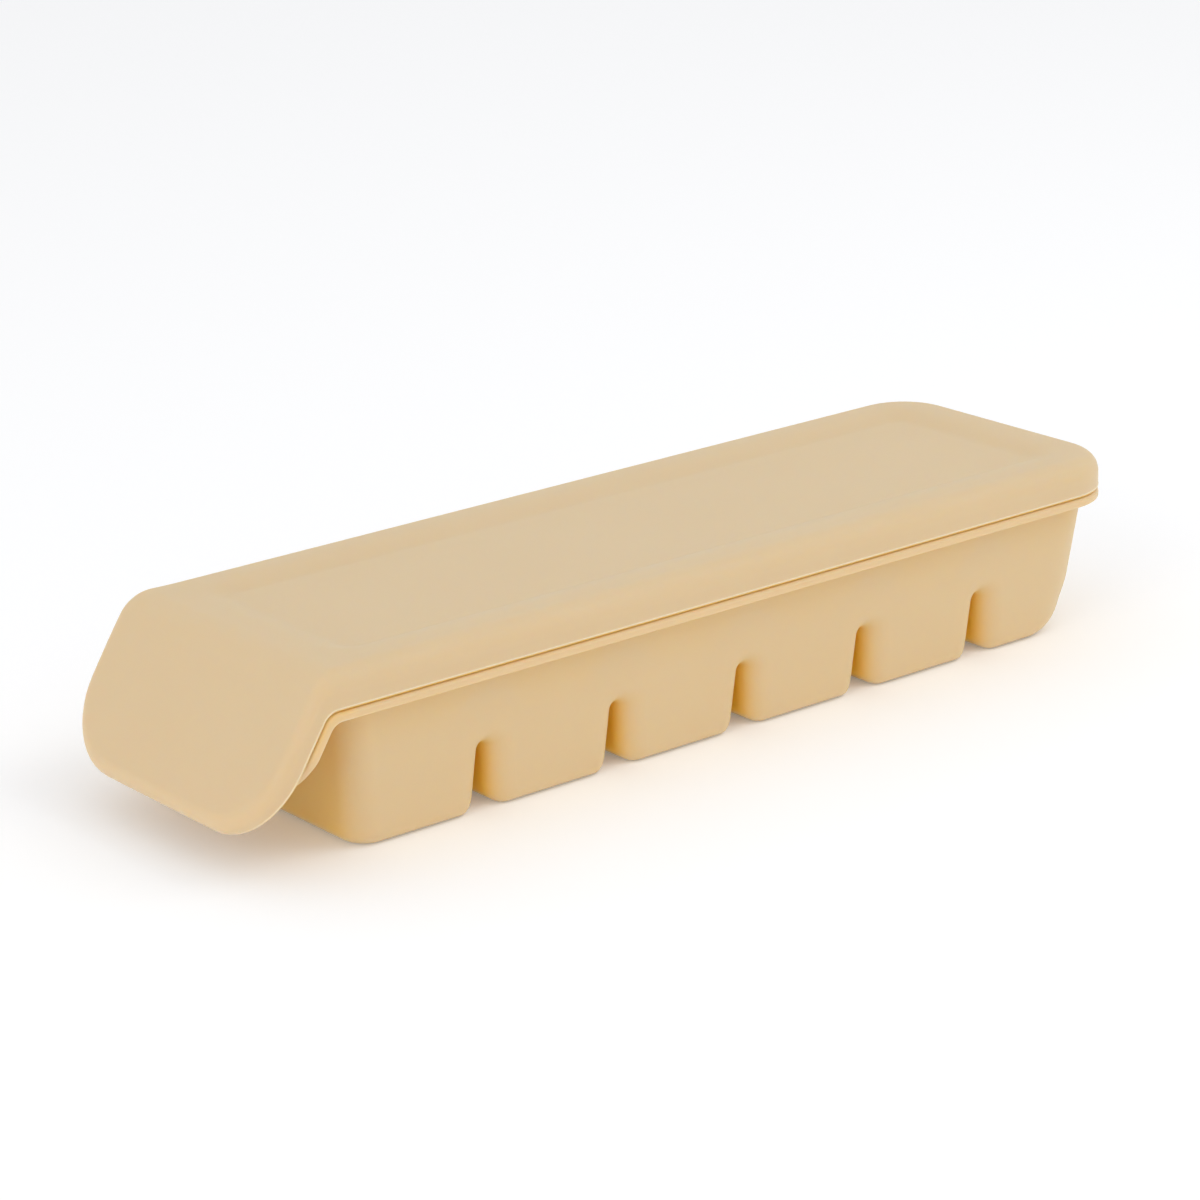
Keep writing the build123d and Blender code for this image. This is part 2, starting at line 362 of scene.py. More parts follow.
def ease(low, high, count, pull):
    """Distances from low to high, drawn towards both ends by a share of a cosine spacing."""
    t = np.linspace(0.0, 1.0, count)
    return low + (high - low) * ((1.0 - pull) * t + pull * (1.0 - np.cos(np.pi * t)) / 2)


def lid_sides(inset):
    """Distance and half width of each row of the lid, for an outline moved in by one inset for each."""
    flat = ease(lid_far - far_corner, bend_start, 110, 0.45)[1:]
    turn = np.linspace(bend_start, bend_end, 19)[1:]
    slope_rows = np.linspace(bend_end, flap_tip + flap_corner, 12)[1:]
    rows = len(quarter) * 2 + len(flat) + len(turn) + len(slope_rows)
    inset = np.broadcast_to(np.asarray(inset, dtype=float), (rows,))
    far_radius = far_corner - inset[: len(quarter)]
    flap_radius = flap_corner - inset[-len(quarter):]
    s = np.concatenate([
        lid_far - far_corner + far_radius * np.cos(quarter),
        flat,
        turn,
        slope_rows,
        flap_tip + flap_corner - flap_radius * np.sin(quarter),
    ])
    width = np.concatenate([
        lid_half - far_corner + far_radius * np.sin(quarter),
        lid_half - inset[len(quarter): -len(quarter)],
        lid_half - flap_corner + flap_radius * np.cos(quarter),
    ])
    return s, width


def shoulder_radius(s):
    """Rounding of the shoulder: one radius round the lid, a smaller one beside the flap and one between
    them at the flap's end, joined by smooth steps."""
    beside = shoulder_lid + (shoulder_side - shoulder_lid) * smooth((bend_start + 8.0 - s) / 26.0)
    return beside + (shoulder_tip - shoulder_side) * smooth((flap_tip + 24.0 - s) / 22.0)


row_place = lid_sides(0.0)[0]
lid_rows = len(row_place)
print("lid rows", lid_rows, "columns", 2 * len(across) - 1)

# %% [markdown]
# ## The recess in the lid's top
# A broad shallow recess stiffens the soft top and leaves a raised border round it. The border rolls over
# softly and meets the recess's floor in a clearer line, so the depth grows with the square of the distance
# inside a rounded rectangle, eased by a part of a smooth step.

# %% Lid faces
recess_depth = 1.8
recess_run = 8.0
recess_ease = 0.25
recess_corner = 12.0
recess_low = bend_start + 4.0
recess_high = lid_far - 9.0
recess_half = lid_half - 8.0


def recess(s, y):
    """Depth of the recess: its full depth times a share that grows with how far a point lies inside a
    rectangle with rounded corners. The share is a square of that distance, with a part of a smooth step
    mixed in."""
    middle = (recess_low + recess_high) / 2
    out_s = np.abs(s - middle) - ((recess_high - recess_low) / 2 - recess_corner)
    out_y = np.abs(y) - (recess_half - recess_corner)
    reach = np.hypot(np.maximum(out_s, 0.0), np.maximum(out_y, 0.0))
    inside = recess_corner - reach - np.minimum(np.maximum(out_s, out_y), 0.0)
    part = np.clip(inside / recess_run, 0.0, 1.0)
    return recess_depth * ((1.0 - recess_ease) * part ** 2 + recess_ease * smooth(part))


def lid_sheet(inset, line):
    """A face of the lid: rows from side to side at each distance, on a bent line, lowered by the recess."""
    s, width = lid_sides(inset)
    fraction = np.concatenate([-across[::-1], across[1:]])
    y = width[:, None] * fraction[None, :]
    x, z = on_line(s, line)
    return stacked(x[:, None], y, z[:, None] - recess(s[:, None], y))


print("recess from", round(recess_low, 2), "to", round(recess_high, 2), "half width", recess_half)

# %% [markdown]
# ## The lid's edge
# The shoulder rolls over into the skirt. The skirt ends in a rounded foot, and just above it runs the fine
# bead where the halves of the mould part. The bead's pale colour is a painted highlight. Painted amber
# shade, with a faint painted glow, lies on the foot and the inner wall, where the skirt meets the tray's
# flange. There is less of it on the flap, which stands clear of the tray.

# %% Lid edge
skirt_set = 0.10
bead_half = 0.28
bead_rise = 0.64
bead_clear = 1.2
foot_radius = 0.35
inner_shoulder = 0.6
# Most painted shade at the lid's foot; above one it also adds a painted glow.
foot_shade_and_glow = 1.35
inner_fade = 0.95
flap_fade = 0.65
fade_half = 6.0


def lid_loop(inset, depth_share, depth_more):
    """A loop round the lid's outline, moved in by inset and sunk towards the skirt's foot by a share of the
    skirt's depth and a length more. It runs along the far end, down the front side, along the flap's end
    and back."""
    s, width = lid_sides(inset)
    far_end = stacked(s[0], -width[0] * across)
    sides = stacked(s, -width)
    flap_end = stacked(s[-1], -width[-1] * across[::-1])
    half = np.concatenate([far_end[:-1], sides, flap_end[1:]])
    top_x, top_z = on_line(half[:, 0], OUTER_SKIN)
    foot_x, foot_z = on_line(half[:, 0], SKIRT_FOOT)
    drop = np.hypot(foot_x - top_x, foot_z - top_z)
    sunk = (drop * depth_share + depth_more) / drop
    front = stacked(top_x + (foot_x - top_x) * sunk, half[:, 1], top_z + (foot_z - top_z) * sunk)
    return np.concatenate([front, mirrored(front)[-2::-1]])


def with_ends(values):
    """Values of the rows, with the first and the last repeated along the two ends of a loop's half."""
    return np.concatenate([values[:1].repeat(ends), values, values[-1:].repeat(ends)])


def lid_edge():
    """Shoulder, skirt, parting bead, rounded foot, inner wall and inner shoulder: one loop for each step of
    the section, each with its painted light: a painted pale highlight on the bead, and painted amber shade
    with a painted glow on the foot and the inner wall."""
    round_over = shoulder_radius(row_place)
    steps = []
    for angle in quarter_turn(13):
        deep = with_ends(round_over * (1.0 - np.cos(angle)))
        steps.append((lid_loop(skirt_set + round_over * (1.0 - np.sin(angle)), 0.0, deep), 0.0))
    for part in (0.4, 0.8):
        deep = with_ends(round_over) * (1.0 - part) - bead_clear * part
        steps.append((lid_loop(skirt_set, part, deep), 0.0))
    # Painted highlight: the crest of the bead is painted pale.
    for across_bead in np.linspace(-1.0, 1.0, 7):
        crest = np.cos(across_bead * np.pi / 2)
        loop = lid_loop(skirt_set * (1.0 - crest), 1.0, bead_half * across_bead - bead_rise)
        steps.append((loop, -crest))
    # Painted shade and painted glow on the rounded foot and the inner wall.
    for angle in quarter_turn(6):
        inset = skirt_set + foot_radius * (1.0 - np.cos(angle))
        loop = lid_loop(inset, 1.0, -foot_radius * (1.0 - np.sin(angle)))
        steps.append((loop, foot_shade_and_glow * np.sin(angle)))
    for angle in quarter_turn(6):
        inset = lid_thick - foot_radius * (1.0 - np.sin(angle))
        loop = lid_loop(inset, 1.0, -foot_radius * (1.0 - np.cos(angle)))
        steps.append((loop, foot_shade_and_glow - inner_fade * np.sin(angle)))
    for part in (0.7, 0.55):
        steps.append((lid_loop(lid_thick, part, 0.0), 0.0))
    for angle in quarter_turn(5):
        inset = lid_thick + inner_shoulder * (1.0 - np.cos(angle))
        loop = lid_loop(inset, 0.0, lid_thick + inner_shoulder * (1.0 - np.sin(angle)))
        steps.append((loop, 0.0))
    half_place = with_ends(row_place)
    whole_place = np.concatenate([half_place, half_place[-2::-1]])
    # The painted shade and glow fade on the flap; the painted highlight stays.
    on_flap = smooth((bend_start + fade_half - whole_place) / (2 * fade_half))
    painted_light = np.array([depth for loop, depth in steps])[:, None]
    faded = np.where(painted_light > 0.0, painted_light * (1.0 - flap_fade * on_flap), painted_light)
    return np.stack([loop for loop, depth in steps]), faded


top_face = lid_sheet(skirt_set + shoulder_radius(row_place), OUTER_SKIN)
under_face = lid_sheet(lid_thick + inner_shoulder, INNER_SKIN)
edge, edge_painted_light = lid_edge()
under_face[:, 0] = edge[-1, ends: ends + lid_rows]
under_face[:, -1] = mirrored(under_face[:, 0])
lid_patches = [(top_face, 0.0), (edge, edge_painted_light), (under_face, 0.0)]
lid_skin = make_piece("lid_skin", lid_patches, lid_silicone)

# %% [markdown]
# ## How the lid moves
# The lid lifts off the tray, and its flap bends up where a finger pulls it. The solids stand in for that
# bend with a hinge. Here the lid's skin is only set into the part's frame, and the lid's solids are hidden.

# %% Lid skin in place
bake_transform(lid_skin)
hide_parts("lid", "lid_flap")

# %% [markdown]
# ## The tray's rim, flange and tab
# The rim is an upstand that the lid grips, the flange under it carries the lid's skirt, and at the flap's
# end the flange turns down into a pull tab. All of it is one closed ring: a section carried round three
# loops, the mouth, the rim and the outer edge. The outer edge is a loop in distance and width, so the tab
# can bend.

# %% Loops of the rim
rim_top = lid_top - lid_thick - 0.1
rim_half = lid_half - lid_thick - 0.4
rim_end = lid_far - overhang + rim_half - (lid_half - overhang)
rim_corners = (9.0, 14.0)
mouth_z = 42.9
mouth_set = wall_thick - 0.8
mouth_half = half_width(mouth_z) - mouth_set
mouth_end = half_row - half_gap(mouth_z) - mouth_set
mouth_corners = (6.8, 9.0)
tab_length = 29.0
tab_tip = bend_end - (tab_length - flap_begin)
tab_corner = 13.0
end_steps = np.linspace(0.0, 1.0, 13)
side_steps = np.linspace(0.0, 1.0, 41)
corner_steps = quarter_turn(37)
near_steps = np.linspace(1.0, 0.0, 27)
tab_steps = quarter_turn(15)
side_stop = 16.0 - lid_far
side_line = (lid_far - far_corner) * (1.0 - side_steps) + side_stop * side_steps


def far_part(end, half, radius):
    """The far end of a loop from its middle to the front, and its rounded corner."""
    line = stacked(end, -(half - radius) * end_steps)
    turn_x = end - radius * (1.0 - np.cos(quarter))
    turn_y = -(half - radius * (1.0 - np.sin(quarter)))
    return np.concatenate([line[:-1], stacked(turn_x, turn_y)])


def rim_loop(end, half, corners, grow=0.0):
    """Half of a rounded rectangle in plan, grown on all sides, from the middle of the far end, along the
    front, to the middle of the flap's end. Its corners are given for the flap's end and the far end."""
    end = end + grow
    half = half + grow
    near_radius = corners[0] + grow
    far_radius = corners[1] + grow
    front = stacked(np.clip(side_line, near_radius - end, end - far_radius), -half)
    near_turn = stacked(
        -end + near_radius * (1.0 - np.sin(corner_steps)),
        -(half - near_radius * (1.0 - np.cos(corner_steps))),
    )
    near_line = stacked(-end, -(half - near_radius) * near_steps)
    return np.concatenate([far_part(end, half, far_radius), front[1:], near_turn[1:], near_line])


def edge_loop(inset):
    """Half of the flange's outer edge in distance and width, from the far end to the tip of the tab."""
    half = lid_half - inset
    side_s = np.concatenate([
        side_line[1:],
        np.linspace(side_stop, bend_start, 7)[1:],
        np.linspace(bend_start, bend_end, 21)[1:],
        np.linspace(bend_end, tab_tip + tab_corner, 11)[1:],
    ])
    tab_radius = tab_corner - inset
    tab_turn = stacked(
        tab_tip + tab_corner - tab_radius * np.sin(tab_steps),
        -(lid_half - tab_corner) - tab_radius * np.cos(tab_steps),
    )
    tab_end = stacked(tab_tip + inset, -(lid_half - tab_corner) * end_steps[::-1])
    far = far_part(lid_far - inset, half, far_corner - inset)
    return np.concatenate([far, stacked(side_s, -half), tab_turn[1:], tab_end])


print("loop points", len(rim_loop(rim_end, rim_half, rim_corners)), len(edge_loop(0.0)))

# %% [markdown]
# ## One section round the ring
# Each row below is one step of the section: out along the flange's underside, round its edge, back along
# its top, up the rim, over it and down into the mouth. Where a row crosses the bend it takes more of its
# steps there.

# %% Rows of the rim
sheet_rows = 25
flat_share = 0.2
bend_share = 0.65
low_rows = sheet_rows + 4
skirt_row = sheet_rows + 15
skirt_spread = 5.0
high_rows = sheet_rows + 14


def flange_point(loop, depth_share):
    """Points of the flange at a share of its thickness below its top, for a loop in distance and width."""
    top_x, top_z = on_line(loop[:, 0], FLANGE_TOP)
    low_x, low_z = on_line(loop[:, 0], FLANGE_UNDER)
    x = top_x + (low_x - top_x) * depth_share
    z = top_z + (low_z - top_z) * depth_share
    return stacked(x, loop[:, 1], z)


def plan_row(loop, z):
    """A loop in plan at one height."""
    return stacked(loop[:, 0], loop[:, 1], z)


def flange_sheet(inner, line, depth_share, rounding):
    """Rows of the flange from a loop in plan to its edge: straight in distance and width, with a share of
    the steps kept for the bend."""
    start = stacked(flat_distance(inner[:, 0], line), inner[:, 1])
    stop = edge_loop(rounding)
    run = np.minimum(stop[:, 0] - start[:, 0], -1e-6)
    to_bend = np.clip((bend_start - start[:, 0]) / run, 0.0, 1.0)
    past_bend = np.clip((bend_end - start[:, 0]) / run, 0.0, 1.0)
    first = np.minimum(to_bend, flat_share)
    second = np.clip(np.minimum(past_bend, bend_share), first, 1.0)
    rows = []
    for step in np.linspace(0.0, 1.0, sheet_rows):
        if step <= flat_share:
            part = first * step / flat_share
        elif step <= bend_share:
            part = first + (second - first) * (step - flat_share) / (bend_share - flat_share)
        else:
            part = second + (1.0 - second) * (step - bend_share) / (1.0 - bend_share)
        rows.append(flange_point(start + (stop - start) * part[:, None], depth_share))
    return rows


def rim_painted_light(row, at_tab, at_end):
    """Painted light by the row of the section and the nearness to the tab and to its end: painted shade on
    the underside, a painted pale highlight on the tab's lower edge, and more painted shade on the flange's
    top under the lid's skirt and on the upper edge of the tab's sides."""
    under = (row < sheet_rows) * (0.25 + 0.25 * at_tab)
    # A painted pale highlight on the tab's lower edge.
    low_edge = ((row >= sheet_rows) & (row < low_rows)) * 0.8 * at_tab
    near_skirt = np.clip(1.0 - np.abs(row - skirt_row) / skirt_spread, 0.0, 1.0)
    below_skirt = near_skirt * 0.8 * (1.0 - at_tab)
    rise = (row - low_rows) / (high_rows - 1 - low_rows)
    high_edge = ((row > low_rows) & (row < high_rows)) * rise * 0.5 * at_tab * (1.0 - at_end)
    return under - low_edge + below_skirt + high_edge


print("rows on each face of the flange", sheet_rows)

# %% [markdown]
# ## The ring, closed and sewn
# The rows are stacked from the underside of the flange to the mouth and back to the first row, so the
# section is closed. The back half of the ring is the front half mirrored.

# %% Rim piece
upper_round = 1.2
lower_round = 0.5
rim_round = 1.0
mouth_round = 0.5
rim_step = 3.0
mouth_loop = rim_loop(mouth_end, mouth_half, mouth_corners)
rim_foot = rim_loop(rim_end, rim_half, rim_corners)
section = flange_sheet(mouth_loop, FLANGE_UNDER, 1.0, lower_round)
for angle in quarter_turn(7)[1:]:
    lift = lower_round / flange_thick * (1.0 - np.cos(angle))
    section.append(flange_point(edge_loop(lower_round * (1.0 - np.sin(angle))), 1.0 - lift))
for angle in quarter_turn(7):
    sink = upper_round / flange_thick * (1.0 - np.sin(angle))
    section.append(flange_point(edge_loop(upper_round * (1.0 - np.cos(angle))), sink))
section += flange_sheet(rim_foot, FLANGE_TOP, 0.0, upper_round)[::-1][1:]
section.append(plan_row(rim_foot, rim_top - rim_step))
for angle in quarter_turn(6):
    loop = rim_loop(rim_end, rim_half, rim_corners, -rim_round * (1.0 - np.cos(angle)))
    section.append(plan_row(loop, rim_top - rim_round + rim_round * np.sin(angle)))
for angle in quarter_turn(5):
    loop = rim_loop(mouth_end, mouth_half, mouth_corners, mouth_round * (1.0 - np.sin(angle)))
    section.append(plan_row(loop, rim_top - mouth_round * (1.0 - np.cos(angle))))
section.append(plan_row(mouth_loop, mouth_z))
section.append(section[0])
front_ring = np.stack(section)
ring_x = front_ring[:, :, 0]
at_tab = smooth((-half_row - ring_x) / 3.0)
at_end = smooth((ring_x.min() + 9.0 - ring_x) / 6.0)
# Painted shade and painted highlight for each point of the ring.
ring_painted_light = rim_painted_light(np.arange(len(section))[:, None], at_tab, at_end)
ring = [(front_ring, ring_painted_light), (mirrored(front_ring), ring_painted_light)]
rim_skin = make_piece("tray_rim_skin", ring, tray_silicone)
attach(rim_skin, "tray")
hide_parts("tray_rim")

# %% [markdown]
# ## The cups from outside
# Seen from the side, each cell hangs as a cup, parted from the next by a tapering slot with a round roof
# and a flared mouth. Half a cup is one patch: its side profile runs from the slot's roof down the wall,
# round the foot and along the base, and each point of it flares out to the front wall and is then joined
# to the flange above.

# %% Half of a cup at a slot
flare = 6.0
foot_round = 4.5
base_round = 2.8
inner_round = 1.5
fill_steps = np.concatenate([[0.0], np.geomspace(0.02, 1.0, 9)])
flare_steps = quarter_turn(8)[::-1]
across_cup = np.linspace(-1.0, 1.0, 69)
collar_z = flange_under + 0.6
collar_inset = 1.12


def joined(top, low, last):
    """A profile from its top round, down a straight wall to its low round and on to its last point."""
    wall = np.linspace(0.0, 1.0, 9)[1:-1, None]
    base = np.linspace(0.0, 1.0, 8)[1:, None]
    down = top[-1] + (low[0] - top[-1]) * wall
    along = low[-1] + (np.array(last) - low[-1]) * base
    return np.concatenate([top, down, low, along])


def slot_profile():
    """Side profile of a slot's wall, where its flare ends on the front wall, both as (x, z) from the slot's
    middle, and how far the flare reaches: a round roof, a leaning wall, a rounded foot and the base."""
    roof = np.linspace(np.pi / 2, draft, 8)
    foot = np.linspace(np.pi + draft, 1.5 * np.pi, 9)
    arch = stacked(np.cos(roof), np.sin(roof))
    turn = stacked(np.cos(foot), np.sin(foot))
    roof_middle = np.array([0.0, slot_roof])
    wall_foot = half_gap(0.0)
    centre = np.array([wall_foot + foot_round * (1.0 - np.sin(draft)) / np.cos(draft), foot_round])
    level = base_round + inner_round
    knee_x = wall_foot + (flare + inner_round - level * np.sin(draft)) / np.cos(draft)
    knee = np.array([knee_x, level])
    wall = joined(slot_radius * arch + roof_middle, centre + foot_round * turn, (pitch / 2, 0.0))
    wide = (slot_radius + flare) * arch + roof_middle
    mark = joined(wide, knee + inner_round * turn, (pitch / 2, base_round))
    reach = joined(
        np.full((len(roof), 1), flare),
        flare + (base_round - flare) * smooth(np.linspace(0.0, 1.0, len(foot)))[:, None],
        (base_round,),
    )
    return wall, mark, reach[:, 0]


wall_line, mark_line, reach_line = slot_profile()
mark_run = np.concatenate([[0.0], np.cumsum(np.hypot(*np.diff(mark_line, axis=0).T))])
top_x = pitch / 2 * mark_run / mark_run[-1]
print("points on a slot's side", len(top_x))


def slot_half():
    """Front and middle patches of half a cup, with x from the slot's middle: the front runs from the flange
    down to the flare and round a quarter turn into the slot, and the middle joins the two flares."""
    columns = []
    for z, inset in ((mouth_z, collar_inset), (collar_z, 0.0)):
        columns.append(stacked(top_x, inset - half_width(z), z))
    top = stacked(top_x, flange_under)
    for step in fill_steps[::-1]:
        flat = mark_line + (top - mark_line) * step
        columns.append(stacked(flat[:, 0], -half_width(flat[:, 1]), flat[:, 1]))
    for angle in flare_steps[1:]:
        flat = mark_line + (wall_line - mark_line) * np.cos(angle)
        y = reach_line * (1.0 - np.sin(angle)) - half_width(flat[:, 1])
        columns.append(stacked(flat[:, 0], y, flat[:, 1]))
    half = half_width(wall_line[:, 1]) - reach_line
    middle = stacked(wall_line[:, :1], half[:, None] * across_cup[None, :], wall_line[:, 1:])
    return np.stack(columns, axis=1), middle


# %% [markdown]
# ## The two ends of the row
# At each end of the row the wall turns round two upright corners, rounder at the far end. There a wall
# section is carried along a path in plan: along the front wall, round the corner, across the end and back
# on the other side. The base is then ruled from the inner end of the section to the middle of the last cup.

# %% Half of a cup at an end
path_front = np.linspace(0.0, 1.0, 11)
path_corner = quarter_turn(14)
path_end = np.linspace(0.0, 1.0, 12)
end_radius = {"flap": 3.2, "far": 7.5}
flap_end_corner = 7.0
far_end_corner = 15.5
far_end_taper = 3.5
far_end_swell = 2.2
swell_top = 14.0
swell_run = 8.0


def end_corner(side, z):
    """Plan radius of an end's corners at a height. Beside the flap it is constant. At the far end it grows
    evenly from the flange down to the base, and by a smooth step more close to the base."""
    if side == "flap":
        return np.full(np.shape(z), flap_end_corner)
    raised = np.clip(z, 0.0, flange_under) / flange_under
    return far_end_corner - far_end_taper * raised + far_end_swell * smooth((swell_top - z) / swell_run)


def end_path(side, z, inset):
    """Path in plan, from the front of a cup's middle round an end: x from the end's nominal place, and y.
    z and inset may change along the path; it is mirrored to the back."""
    turn_at = len(path_front)
    end_at = turn_at + len(path_corner) - 1
    count = end_at + len(path_end) - 1
    on_front = slice(0, turn_at)
    on_turn = slice(turn_at - 1, end_at)
    on_end = slice(end_at - 1, count)
    z = np.broadcast_to(np.asarray(z, dtype=float), (count,))
    inset = np.broadcast_to(np.asarray(inset, dtype=float), (count,))
    gap = half_gap(z)
    half = half_width(z)
    radius = end_corner(side, z)
    front_x = pitch / 2 + (gap + radius - pitch / 2)[on_front] * path_front
    front = stacked(front_x, (inset - half)[on_front])
    sweep = (radius - inset)[on_turn]
    corner = stacked(
        (gap + radius)[on_turn] - sweep * np.sin(path_corner),
        (radius - half)[on_turn] - sweep * np.cos(path_corner),
    )
    end = stacked((gap + inset)[on_end], (radius - half)[on_end] * (1.0 - path_end))
    path = np.concatenate([front, corner[1:], end[1:]])
    points = plan_row(path, z)
    return np.concatenate([points, mirrored(points)[-2::-1]])


def end_half(side):
    """Wall and base patches of half a cup at an end of the row: the wall drops from the collar and turns in
    by a quarter round, whose radius grows round the corner, and the base is ruled to the cup's middle."""
    past_corner = np.full(len(path_end) - 1, np.pi)
    turned_by = np.concatenate([path_front * 0.1, 0.1 + path_corner[1:], past_corner])
    radius = base_round + (end_radius[side] - base_round) * smooth(turned_by)
    rows = [end_path(side, mouth_z, collar_inset), end_path(side, collar_z, 0.0)]
    for step in fill_steps[::-1]:
        rows.append(end_path(side, radius + (flange_under - radius) * step, 0.0))
    for angle in flare_steps[1:]:
        rows.append(end_path(side, radius * (1.0 - np.cos(angle)), radius * (1.0 - np.sin(angle))))
    line = stacked(pitch / 2, (half_width(0.0) - base_round) * across_cup, 0.0)
    base = [rows[-1] + (line - rows[-1]) * step for step in np.linspace(0.0, 1.0, 7)]
    return np.stack(rows), np.stack(base)


print("points on an end's path", len(end_path("far", 0.0, 0.0)), "across a cup", len(across_cup))

# %% [markdown]
# ## The cells from inside
# When the lid is off, each cell shows a rounded lip, drafted walls and a bowl-like bottom. A cell is a
# loop carried down a section. Its loop has one point for each point of the outline round it, so the flat
# land on the dividers is only a ring of quads between the two.

# %% Loops of a cell
land_steps = np.linspace(-1.0, 1.0, 25)
straight_front = 0.72
straight_side = 0.86
across_row = np.array([1.0, -1.0])


def outline_at(kind):
    """Half of the land's outer line, from the front of a cell's middle to the back, with x from the slot or
    the end."""
    if kind != "slot":
        return end_path(kind, mouth_z, collar_inset)
    half = half_width(mouth_z) - collar_inset
    front = stacked(top_x[::-1], -half)
    middle = stacked(0.0, half * land_steps)
    back = stacked(top_x, half)
    return plan_row(np.concatenate([front[:-1], middle, back[1:]]), mouth_z)


def cell_at(kind, length, width, corner, z):
    """Half of a cell's loop: a rounded rectangle, with x from the cell's middle, matched to outline_at.
    At a slot the front and the side each take half of the corner's turn."""
    if kind == "slot":
        part = 1.0 - top_x[::-1] / (pitch / 2)
        turn = np.maximum(part - straight_front, 0.0) / (1.0 - straight_front) * np.pi / 4
        front_x = np.minimum(part / straight_front, 1.0) * (length - corner) + corner * np.sin(turn)
        front = stacked(front_x, -(width - corner) - corner * np.cos(turn))
        off_middle = np.abs(land_steps)
        over = np.maximum(off_middle - straight_side, 0.0) / (1.0 - straight_side)
        turn = np.pi / 2 - over * np.pi / 4
        side_y = np.minimum(off_middle / straight_side, 1.0) * (width - corner) + corner * np.cos(turn)
        middle = stacked(length - corner + corner * np.sin(turn), np.sign(land_steps) * side_y)
        line = np.concatenate([front[:-1], middle, (front * across_row)[::-1][1:]])
    else:
        front = stacked((length - corner) * path_front, -width)
        turn = stacked(
            length - corner + corner * np.sin(path_corner),
            -(width - corner) - corner * np.cos(path_corner),
        )
        end = stacked(length, -(width - corner) * (1.0 - path_end))
        half = np.concatenate([front, turn[1:], end[1:]])
        line = np.concatenate([half, (half * across_row)[-2::-1]])
    return plan_row(line, z)


print("points round half a cell", len(outline_at("slot")), len(outline_at("far")))

# %% [markdown]
# ## The section of a cell
# Frozen food has to slide out, so the lip is rounded, the wall leans by the draft and the floor meets it
# in a wide round. The rows run from the land on the dividers, over the lip, down the wall and round to
# the middle.

# %% Rows of a cell
cell_floor = 2.4
bowl = 5.0
lip = 0.6
cell_corner = {"slot": 6.0, "flap": 6.0, "far": 12.0}
least_corner = 1.2


def cell_half(kind):
    """Land, lip, wall, bowl and floor of half a cell, with x from the cell's middle: rounded rectangles that
    shrink by a quarter circle at the lip and at the bowl, and by the draft between them."""

    def loop(z, inset, size=1.0):
        """One loop at a height, moved in from the wall and shrunk about the cell's middle."""
        length = (pitch / 2 - half_gap(z) - wall_thick - inset) * size
        width = (half_width(z) - wall_thick - inset) * size
        corner = max(cell_corner[kind] - inset, least_corner) * size
        return cell_at(kind, length, width, corner, z)

    land = outline_at(kind)
    land[:, 0] = pitch / 2 - land[:, 0]
    rows = [land]
    for angle in quarter_turn(5):
        rows.append(loop(mouth_z - lip * (1.0 - np.cos(angle)), -lip * (1.0 - np.sin(angle))))
    for z in np.linspace(mouth_z - 4.0, cell_floor + bowl + 3.0, 5):
        rows.append(loop(z, 0.0))
    for angle in quarter_turn(8):
        rows.append(loop(cell_floor + bowl * (1.0 - np.sin(angle)), bowl * (1.0 - np.cos(angle))))
    for size in (0.66, 0.33, 0.0):
        rows.append(loop(cell_floor, bowl, size))
    return np.stack(rows)


print("rows of a cell", len(cell_half("slot")))

# %% [markdown]
# ## Six cups in a row
# Each cup is made of two halves. The inner halves all meet a slot, and the outer half of the first and the
# last cup is an end of the row. Halves are turned round and moved along the row, and the shell is sewn at
# the end.

# %% Cups piece
# Painted shade in the slots, under the flap and just under the flange.
painted_shade_most = {"slot": 1.0, "flap": 0.5, "far": 0.0}
painted_shade_run = {"slot": 7.0, "flap": 9.0, "far": 9.0}
base_fade = 3.0
flange_fade = 3.0
under_flange_shade = 0.15


def turned(patch, place, sign):
    """A patch set at a place along the row, with its x running along the row (1) or against it (-1)."""
    return patch * np.array([sign, 1.0, 1.0]) + np.array([place, 0.0, 0.0])


def cup_painted_shade(patch, kind):
    """Painted amber shade on a cup's outside: a smooth step of the depth behind the long walls, in a slot or
    under the flap, fading at the base, and a little painted shade close under the flange."""
    deep = half_width(patch[..., 2]) - np.abs(patch[..., 1])
    inside = painted_shade_most[kind] * smooth(deep / painted_shade_run[kind])
    raised = smooth(patch[..., 2] / base_fade)
    below_flange = under_flange_shade * (1.0 - smooth((flange_under - patch[..., 2]) / flange_fade))
    return np.maximum(inside * raised, below_flange)


patches = []
slot_front, slot_middle = slot_half()
slot_patches = (slot_front, mirrored(slot_front), slot_middle)
for number in range(cells):
    left = number * pitch - half_row
    right = left + pitch
    for place, sign, kind in (
        (left, 1.0, "flap" if number == 0 else "slot"),
        (right, -1.0, "far" if number == cells - 1 else "slot"),
    ):
        for patch in slot_patches if kind == "slot" else end_half(kind):
            patches.append((turned(patch, place, sign), cup_painted_shade(patch, kind)))
        patches.append((turned(cell_half(kind), (left + right) / 2, -sign), 0.0))
cups_skin = make_piece("tray_cups_skin", patches, tray_silicone)
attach(cups_skin, "tray")
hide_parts(*[f"cup_{number + 1}" for number in range(cells)])

# %% [markdown]
# ## Floor
# The tray stands on a plain sheet of white paper that runs out of the picture. The paper is a little warm,
# which evens out the cooler light from above, and it shines faintly, as a lit paper sweep does in a studio.

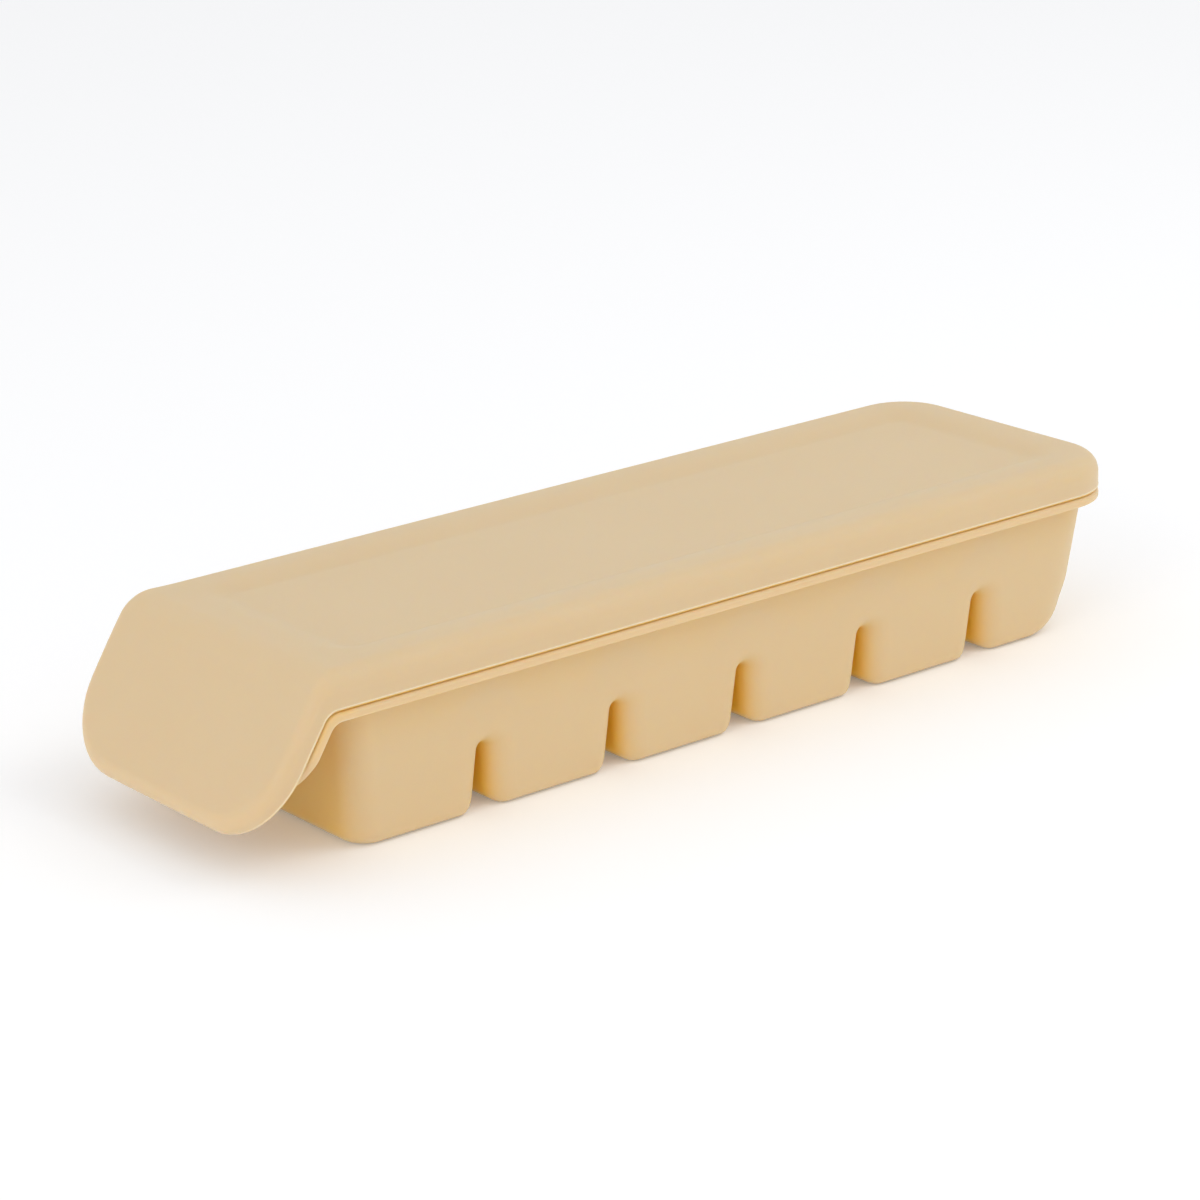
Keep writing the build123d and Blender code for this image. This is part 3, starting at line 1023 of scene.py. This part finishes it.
# %% Floor
floor_half = 6.0
floor_z = -0.0002
paper = bpy.data.materials.new("white paper")
paper.use_nodes = True
paper_inputs = paper.node_tree.nodes["Principled BSDF"].inputs
paper_inputs["Base Color"].default_value = (0.932, 0.925, 0.912, 1.0)
paper_inputs["Emission Color"].default_value = (1.0, 1.0, 1.0, 1.0)
paper_inputs["Emission Strength"].default_value = 0.12
paper_inputs["Roughness"].default_value = 0.9
paper_inputs["Specular IOR Level"].default_value = 0.1
floor_mesh = bpy.data.meshes.new("floor")
floor_signs = ((-1, -1), (1, -1), (1, 1), (-1, 1))
floor_corners = [(x * floor_half, y * floor_half, floor_z) for x, y in floor_signs]
floor_mesh.from_pydata(floor_corners, [], [(0, 1, 2, 3)])
floor_mesh.materials.append(paper)
floor = bpy.data.objects.new("floor", floor_mesh)
bpy.context.collection.objects.link(floor)
print("floor", floor_corners[0], floor_corners[2])

# %% [markdown]
# ## Sky and lamps
# A nearly even sky, warm at the horizon, cooler above and a little brighter in front than behind, fills all
# the shadows, as walls and a ceiling of white cloth do. Two broad lamps add the faint modelling: one on the
# right, high in front of the long side, and a wider one low on the left that lights the flap.

# %% Light
sky_strength = 0.835
front_gain = 0.05
horizon = (1.0, 0.985, 0.96, 1.0)
zenith = (0.95, 0.98, 1.04, 1.0)
aim = Vector((0.0, 0.0, 0.02))
world = bpy.data.worlds.new("studio")
bpy.context.scene.world = world
world.use_nodes = True
background = world.node_tree.nodes["Background"].inputs
sky = Value(world.node_tree, world.node_tree.nodes.new("ShaderNodeTexCoord").outputs["Generated"])
sky_x, sky_y, sky_z = [sky.node("ShaderNodeSeparateXYZ", {}, {0: sky}, output=axis) for axis in range(3)]
strength = sky_strength - (sky_x * 0.6 + sky_y * 0.8) * front_gain
shade = sky.node("ShaderNodeMix", {"data_type": "RGBA"}, {0: sky_z, 6: horizon, 7: zenith}, output=2)
world.node_tree.links.new(shade.socket, background["Color"])
world.node_tree.links.new(strength.socket, background["Strength"])


def soft_lamp(name, place, size, watts):
    """A square area lamp at a place, turned to face the tray."""
    lamp = bpy.data.lights.new(name, "AREA")
    lamp.size = size
    lamp.energy = watts
    made = bpy.data.objects.new(name, lamp)
    made.location = place
    made.rotation_euler = (aim - Vector(place)).to_track_quat("-Z", "Y").to_euler()
    bpy.context.collection.objects.link(made)


soft_lamp("right lamp", (0.585, -0.585, 1.0), 0.6, 2.4)
soft_lamp("left lamp", (-1.4, -0.5, 0.7), 0.9, 4.0)
bpy.context.scene.view_settings.view_transform = "Standard"
print("sky and two lamps set")

# %% [markdown]
# ## Camera
# The camera was fitted to the tray's straight edges in the photograph: it stands low in front of the
# flap's end and looks along the row, with a long lens, so the far end is only a little smaller than the
# near one.

# %% Camera
yaw, tilt, roll = np.radians([38.118, 18.546, -1.692])
stand = np.array([-563.633, -695.550, 326.203])
forward = np.array([np.sin(yaw) * np.cos(tilt), np.cos(yaw) * np.cos(tilt), -np.sin(tilt)])
level = np.array([np.cos(yaw), -np.sin(yaw), 0.0])
upward = np.cross(level, forward)
rightward = np.cos(roll) * level + np.sin(roll) * upward
up = np.cos(roll) * upward - np.sin(roll) * level
lens = bpy.data.cameras.new("camera")
lens.sensor_width = 36.0
lens.lens = 112.245
camera = bpy.data.objects.new("camera", lens)
pose = np.eye(4)
pose[:3, :3] = np.stack([rightward, up, -forward], axis=1)
pose[:3, 3] = (stand + np.array([row_middle, 0.0, 0.0])) * MM
camera.matrix_world = Matrix(pose.tolist())
bpy.context.collection.objects.link(camera)
bpy.context.scene.camera = camera
print("camera at", np.round(pose[:3, 3], 4))
